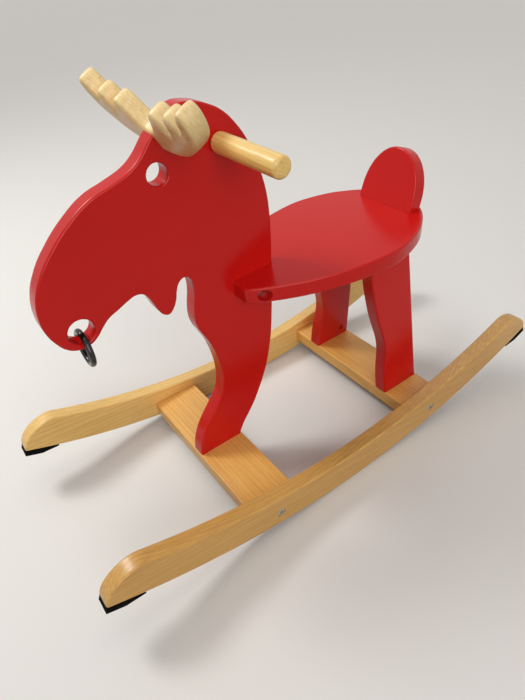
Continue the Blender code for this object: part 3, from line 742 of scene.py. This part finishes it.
def makeRearLegs():
    look = legLook
    splay = look["splay"]
    for side, sign in sides:
        leg = "rearLeg" + side
        outward = Vector((sign * math.cos(splay), 0, math.sin(splay)))
        centre = Vector((sign * look["spread"], 0, plateTop)) - outward * board / 2
        rear = [
            (look["rearFoot"] - look["rearLean"] * (height - plateTop), height, "corner")
            for height in (legFront[-1][1], legFront[0][1])
        ]
        outline = [
            (y, (height - plateTop) / math.cos(splay), *corner) for y, height, *corner in legFront + rear
        ]
        turn = (Matrix.Rotation(-sign * splay, 3, "Y") @ Euler(sideOn).to_matrix()).to_euler()
        lift = look["nutLift"]
        boltX = sign * (look["spread"] - board / 2 / math.cos(splay) - lift / 2 * math.tan(splay))
        node = sideNode("leg_bolt_SIDE", side)
        face = (boltX, look["boltY"], plateTop - board)
        makeHeaded(leg + "Bolt", node, boltSizes["legBolt"], face, downwards, ["crossPlateRear", leg])
        at = (boltX, look["boltY"], plateTop + lift)
        sideways = leftwards if sign > 0 else rightwards  # the nut goes in from the inner face
        makeNut(leg + "Nut", node.replace("bolt", "nut"), look["nutLength"], at, sideways, [leg])
        shape = put(boardMesh(leg, [outline], board, look["rounding"]), centre, turn)
        shape = carved(leg, shape, [plateSpace, seatOver] + bores[leg])
        addPiece(leg, shape, "redPaint", [sideNode("rear_leg_SIDE", side)])
    print("rear legs made")


plateLook = {"depth": 80 * mm, "rounding": 1.5 * mm, "segments": 5}


def makePlates():
    look = plateLook
    reach, depth = width / 2 - board - fit, look["depth"]
    for end, y in (("Front", frontPlateY), ("Rear", rearPlateY)):
        plate = "crossPlate" + end
        shape = boxMesh(plate, (-reach, -depth / 2, -board), (reach, depth / 2, 0))
        shape = put(rounded(plate, shape, look["rounding"], look["segments"]), (0, y, plateTop), upwards)
        addPiece(plate, carved(plate, shape, bores[plate]), "plateWood", ["cross_plate_" + end.lower()])
    print("cross plates made")


antlerHalf = inMetres([
    (0, 4), (10, 6), (20, 14), (28, 25), (35, 33), (41, 36), (48, 32), (54, 24), (61.3, 12, "corner"),
    (65, 26), (69, 36), (76, 40.5), (83, 36), (93, 23, "corner"), (98, 35.5), (104, 46.5), (112, 51),
    (118.5, 44.5), (119, 32), (112, 16), (97, 2), (85, -5), (72, -12), (60, -16), (40, -20.5), (20, -22),
    (0, -22.5),
])
antlerLook = {
    "foot": (-175.7 * mm, 545.7 * mm), "lean": math.radians(29), "rounding": 1 * mm, "notchRounding": 7 * mm,
    "voxel": 1.3 * mm, "passes": 120, "strength": 0.55,
}


# Wears a board's corners soft, as sanding by hand does
def sanded(name, mesh, look):
    def wear(guide):
        remesh = guide.modifiers.new("voxels", "REMESH")
        remesh.mode = "VOXEL"
        remesh.voxel_size = look["voxel"]
        smooth = guide.modifiers.new("wear", "SMOOTH")
        smooth.factor = look["strength"]
        smooth.iterations = look["passes"]

    return evaluated(name, mesh, wear)


def makeAntlers():
    look = antlerLook
    lean = look["lean"]
    rise = Vector((0, -math.sin(lean), math.cos(lean)))
    into = Vector((0, math.cos(lean), math.sin(lean)))
    middle = Vector((0, *look["foot"])) + into * board / 2
    turn = (math.pi / 2 + lean, 0, 0)
    side = board / 2 + fit
    notch = boxMesh("antlerNotch", (-board, antlerHalf[-1][1] - fit, -side), (board, 4 * cutPast, side))
    bore(["headPanel"], put(rounded("antlerNotch", notch, look["notchRounding"]), middle, turn))
    face = middle + rise * antlerHalf[0][1]
    boards = ["antlers", "headPanel"]
    makeHeaded("antlerScrew", "antler_screw", boltSizes["antlerScrew"], face, (lean, 0, 0), boards)
    shape = boardMesh("antlers", [mirroredHalf(antlerHalf)], board, look["rounding"])
    shape = carved("antlers", put(sanded("antlers", shape, look), middle, turn), bores["antlers"])
    addPiece("antlersCarved", shape, "antlerWood", ["antlers"], weighted=False)
    print("antlers made")


handleLook = {
    "at": (-98.5 * mm, 522 * mm), "radius": 12.5 * mm, "length": 263 * mm, "turns": 64,
    "rounding": 4.5 * mm, "segments": 8,
    "dowelRadius": 6 * mm, "dowelLength": 90 * mm, "dowelTurns": 48,
    "bradRadius": 1.75 * mm, "bradLength": 34 * mm, "bradEnd": 3 * mm, "bradLip": 0.5 * mm, "bradTurns": 24,
}


def makeHandle():
    look = handleLook
    at = (0, *look["at"])
    radius, end = look["dowelRadius"] + fit, look["dowelLength"] / 2 + fit
    hole = spunMesh("dowelHole", [(0, end), (radius, end), (radius, -end), (0, -end)], look["dowelTurns"])
    bore(["headPanel", "pegLeft", "pegRight"], put(hole, at, leftwards))
    inner, outer, radius = board / 2 + fit, look["length"] / 2, look["radius"]
    for side, sign in sides:
        name = "peg" + side
        shape = spunMesh(name, [(0, outer), (radius, outer), (radius, inner), (0, inner)], look["turns"])
        shape = rounded(name, shape, look["rounding"], look["segments"])
        put(shape, at, leftwards if sign > 0 else rightwards)
        addPiece(name, carved(name, shape, bores[name]), "handleWood", [sideNode("handle_SIDE", side)])
    radius, end = look["bradRadius"], look["bradLength"] / 2
    middle = (0, at[1] - look["bradEnd"] + end, at[2])
    brad = spunMesh("handleBrad", pinProfile(radius, end, look["bradLip"]), look["bradTurns"])
    addPiece("handleBrad", put(brad, middle, backwards), "zincSteel", ["handle_brad"])
    hole = [(0, 4 * end), (radius + fit, 4 * end), (radius + fit, -end - fit), (0, -end - fit)]
    bore(["headPanel"], put(spunMesh("bradHole", hole, look["bradTurns"]), middle, backwards))
    print("handle made")


seatHalf = inMetres([
    (0, -102, "corner"), (31, -102, "corner"), (41, -99.5), (50, -89), (60, -73), (73, -50), (85, -25),
    (95, 2), (104, 32), (110, 62), (113.5, 93), (113, 116), (109, 137), (103, 157), (95, 176),
    (84, 194), (70, 212), (52, 228), (28, 240.5), (0, 245),
])
wingLook = {  # the bolt and its sleeve in millimetres, as in boltSizes
    "y": -80 * mm,
    "bolt": {"head": 8.5, "headHeight": 4, "shank": 3, "recess": 15, "socket": 2.9},
    "sleeve": {"shank": 4.5, "length": 22},
    "shortBy": 5,
}


def makeWingJoint():
    look, bolt = wingLook, wingLook["bolt"]
    spans = zip(seatHalf, seatHalf[1:])
    near, far = next((a, b) for a, b in spans if a[1] <= look["y"] <= b[1] and b[1] > a[1])
    edge = near[0] + (far[0] - near[0]) * (look["y"] - near[1]) / (far[1] - near[1])
    z = seatPoint(0, look["y"], board / 2).z
    length = 2 * (edge / mm - bolt["recess"] - bolt["headHeight"]) - look["shortBy"]
    size = {**bolt, "length": length}
    boards = ["seatBoard", "headPanel"]
    makeHeaded("wingBolt", "wing_bolt", size, (edge, look["y"], z), leftwards, boards)
    size = {**bolt, **look["sleeve"]}
    makeHeaded("wingSleeve", "wing_sleeve_nut", size, (-edge, look["y"], z), rightwards, boards[:1])
    print("wing joint made")


backrestLook = {
    "y": 199 * mm, "tilt": math.radians(18), "halfWidth": 53 * mm, "rise": 87 * mm, "shoulder": 15 * mm,
    "archDegrees": 15, "screwX": 24 * mm, "rounding": 3 * mm,
}


def makeBackrest():
    look = backrestLook
    tilt, halfWidth = look["tilt"], look["halfWidth"]
    rise = Vector((0, math.sin(tilt), math.cos(tilt)))
    into = Vector((0, math.cos(tilt), -math.sin(tilt)))
    middle = seatPoint(0, look["y"]) + into * board / 2
    arch = look["rise"] - look["shoulder"]
    half = [(halfWidth, -board, "corner"), (halfWidth, 0)]
    for degrees in range(0, 90, look["archDegrees"]):
        angle = math.radians(degrees)
        half.append((halfWidth * math.cos(angle), look["shoulder"] + arch * math.sin(angle)))
    outline = mirroredHalf([*half, (0, look["rise"])])
    depth = (seatPoint(0, 0, board) - middle).dot(seatNormal) / rise.dot(seatNormal)
    driven = (math.pi - tilt, 0, 0)
    boards = ["seatBoard", "backrestBoard"]
    for side, sign in sides:
        face = middle + rise * depth + Vector((sign * look["screwX"], 0, 0))
        node = sideNode("backrest_screw_SIDE", side)
        makeHeaded("backrestScrew" + side, node, boltSizes["backrestScrew"], face, driven, boards)
    shape = boardMesh("backrestBoard", [outline], board, look["rounding"])
    put(shape, middle, (math.pi / 2 - tilt, 0, 0))
    shape = carved("backrestBoard", shape, [seatUnder] + bores["backrestBoard"])
    addPiece("backrestBoard", shape, "redPaint", ["backrest"])
    print("backrest made")


seatLook = {"rounding": 3 * mm, "slotEnd": -34 * mm}


def makeSeat():
    look = seatLook
    shape = boardMesh("seatBoard", [mirroredHalf(seatHalf)], board, look["rounding"])
    put(shape, seatPoint(0, 0, board / 2), (seatSlope, 0, 0))
    side = board / 2 + fit
    low = (-side, seatHalf[0][1] - cutPast, seatHeight - 2 * board)
    high = (side, look["slotEnd"] + fit, seatHeight + board)
    shape = carved("seatBoard", shape, [boxMesh("seatSlot", low, high)] + bores["seatBoard"])
    addPiece("seatBoard", shape, "redPaint", ["seat"])
    print("seat made")


headOutline = inMetres([
    (-196, 529), (-210, 519), (-235, 510), (-260, 502.5), (-286, 487), (-316, 461), (-335, 438),
    (-347, 414), (-351, 389), (-349, 371), (-342, 353), (-335, 342.5), (-325, 335.5), (-314, 333.5),
    (-303, 336), (-294, 342), (-286, 350.5), (-276, 359), (-261, 365.5), (-247, 371.5), (-238, 374),
    (-229, 372), (-223, 365), (-218, 353), (-213, 340), (-207, 331.5), (-200, 329), (-193, 334),
    (-187, 345), (-183, 359), (-178, 368), (-170, 371.5), (-163, 367), (-160, 355), (-161, 338),
    (-164, 323), (-166, 305), (-164, 289), (-158, 274), (-150, 256), (-145, 240), (-141, 221),
    (-138, 192), (-141, 164), (-146, 150), (-156, 135), (-170, 117), (-183, 98), (-191, 81),
    (-196, 62), (-198, 40, "corner"), (-126, 40, "corner"), (-111, 68), (-99, 84), (-87, 101),
    (-75, 123), (-64, 146), (-55, 170), (-48, 198), (-43, 225), (-39, 262), (-35.5, 305),
    (-34, 341), (-32, 380), (-32, 412), (-34, 440), (-40, 468), (-48, 493), (-58, 516), (-71, 536),
    (-88, 554), (-106, 564.5), (-126, 571), (-146, 571.5), (-165, 560), (-182, 544),
])
headLook = {
    "eye": (-180 * mm, 506.5 * mm), "eyeRadius": 12.7 * mm,
    "nostril": (-311.5 * mm, 357 * mm), "nostrilRadius": 16 * mm,
    "rounding": 3 * mm, "steps": 8,
    "footBoltY": 20 * mm, "footNutLift": 30 * mm, "footNutLength": 14 * mm,
}


def makeHead():
    look = headLook
    boards = ["crossPlateFront", "headPanel"]
    for end, shift in (("Front", -look["footBoltY"]), ("Rear", look["footBoltY"])):
        y = frontPlateY + shift
        node = "foot_bolt_" + end.lower()
        face = (0, y, plateTop - board)
        makeHeaded("footBolt" + end, node, boltSizes["footBolt"], face, downwards, boards)
        at = (0, y, plateTop + look["footNutLift"])
        node = node.replace("bolt", "nut")
        makeNut("footNut" + end, node, look["footNutLength"], at, leftwards, boards[1:])
    eye, nostril = holeLoop(look["eye"], look["eyeRadius"]), holeLoop(look["nostril"], look["nostrilRadius"])
    outlines = [headOutline, eye, nostril]
    shape = boardMesh("headPanel", outlines, board, look["rounding"], steps=look["steps"])
    shape = carved("headPanel", put(shape, (0, 0, 0), sideOn), [plateSpace] + bores["headPanel"])
    addPiece("headPanel", shape, "redPaint", ["head_panel"])
    print("head panel made")


ringLook = {"outer": 25.5 * mm, "stock": 3.8 * mm, "gap": 0.4 * mm, "around": 96, "across": 28}


def makeNoseRing():
    look = ringLook
    major = look["outer"] - look["stock"]
    hingeZ = headLook["nostril"][1] - headLook["nostrilRadius"] + look["stock"] + look["gap"]
    drop = math.sqrt(major**2 - (board / 2) ** 2)
    upright = Matrix.Rotation(math.pi / 2, 4, "X")
    form = bmesh.new()
    bmesh.ops.create_circle(form, segments=look["across"], radius=look["stock"])
    bmesh.ops.transform(form, verts=form.verts, matrix=Matrix.Translation((major, 0, 0)) @ upright)
    revolve(form, form.verts[:] + form.edges[:], look["around"])
    shape = settle("noseRing", form)
    shape.transform(Matrix.Translation((0, 0, -drop)) @ upright)
    put(shape, (0, headLook["nostril"][0], hingeZ), (-restLean, 0, 0))
    addPiece("noseRing", shape, "blackGloss", ["nose_ring"], "ring", False)
    print("nose ring made")


makeRockers()
makeRearLegs()
makeAntlers()
makeHandle()
makeWingJoint()
makeBackrest()
makeSeat()
makeHead()
makePlates()
makeNoseRing()

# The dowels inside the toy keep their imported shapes
for name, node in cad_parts.items():
    if "dowel" in name:
        for slot in node.material_slots:
            slot.material = finishes["rawBeech"]


# Floor, light and camera

stageLook = {
    "floor": colour(0.80, 0.785, 0.76), "bounce": colour(0.16, 0.12, 0.08), "size": 40, "roughness": 0.85,
    "world": colour(1, 0.985, 0.965), "worldStrength": 0.24, "backdrop": colour(0.72, 0.71, 0.695),
    "aim": (0, 0, 0.25),
}
form = bmesh.new()
bmesh.ops.create_grid(form, x_segments=1, y_segments=1, size=stageLook["size"])
floor = bpy.data.objects.new("paleFloor", settle("paleFloor", form))
bpy.context.scene.collection.objects.link(floor)
maker = FinishMaker("paleFloorFinish")
shown = maker.blend(maker.backgroundMask(), stageLook["bounce"], stageLook["floor"])
floor.data.materials.append(maker.finish(Base_Color=shown, Roughness=stageLook["roughness"]))

lamps = {
    "skyLight": {
        "kind": "SUN", "at": (-0.55, 0.25, 2.5), "spread": math.radians(60), "power": 0.68,
        "tint": (1, 0.985, 0.96),
    },
    "roomLight": {
        "kind": "SUN", "at": (2.3, -0.8, 1.35), "spread": math.radians(50), "power": 1.62,
        "tint": (1, 0.975, 0.95),
    },
    "windowLight": {
        "kind": "AREA", "at": (-1.2, -0.9, 1.9), "spread": 0.6, "power": 22, "tint": (1, 0.985, 0.96),
    },
}
for name, look in lamps.items():
    lamp = bpy.data.lights.new(name, look["kind"])
    setattr(lamp, "angle" if look["kind"] == "SUN" else "size", look["spread"])
    lamp.energy = look["power"]
    lamp.color = look["tint"]
    holder = bpy.data.objects.new(name, lamp)
    bpy.context.scene.collection.objects.link(holder)
    aim = Vector(stageLook["aim"]) - Vector(look["at"])
    holder.matrix_world = Matrix.Translation(look["at"]) @ aim.to_track_quat("-Z", "Y").to_matrix().to_4x4()

world = bpy.data.worlds.new("softRoom")
bpy.context.scene.world = world
world.use_nodes = True
maker = NodeMaker(world.node_tree)
sky = maker.tree.nodes["Background"]
maker.feed(sky.inputs["Color"], stageLook["world"])
maker.feed(sky.inputs["Strength"], stageLook["worldStrength"])
backdrop = maker.node("ShaderNodeBackground", {}, {"Color": stageLook["backdrop"]})
parts = {0: maker.backgroundMask(), 1: Wire(maker, sky.outputs[0]), 2: backdrop}
mixed = maker.node("ShaderNodeMixShader", {}, parts)
maker.feed(maker.tree.nodes["World Output"].inputs["Surface"], mixed)

cameraLook = {
    "at": (0.548213, -0.421989, 0.712709), "turn": (51.221045, 3.626385, 53.365233), "lens": 27.386274,
    "sensor": 36, "clip": (0.02, 60),
}
shot = bpy.data.cameras.new("photoCamera")
shot.sensor_fit = "VERTICAL"
shot.sensor_height = cameraLook["sensor"]
shot.lens = cameraLook["lens"]
shot.clip_start, shot.clip_end = cameraLook["clip"]
viewer = bpy.data.objects.new("photoCamera", shot)
bpy.context.scene.collection.objects.link(viewer)
viewer.location = cameraLook["at"]
viewer.rotation_euler = [math.radians(v) for v in cameraLook["turn"]]
bpy.context.scene.camera = viewer
bpy.context.scene.view_settings.view_transform = "Standard"
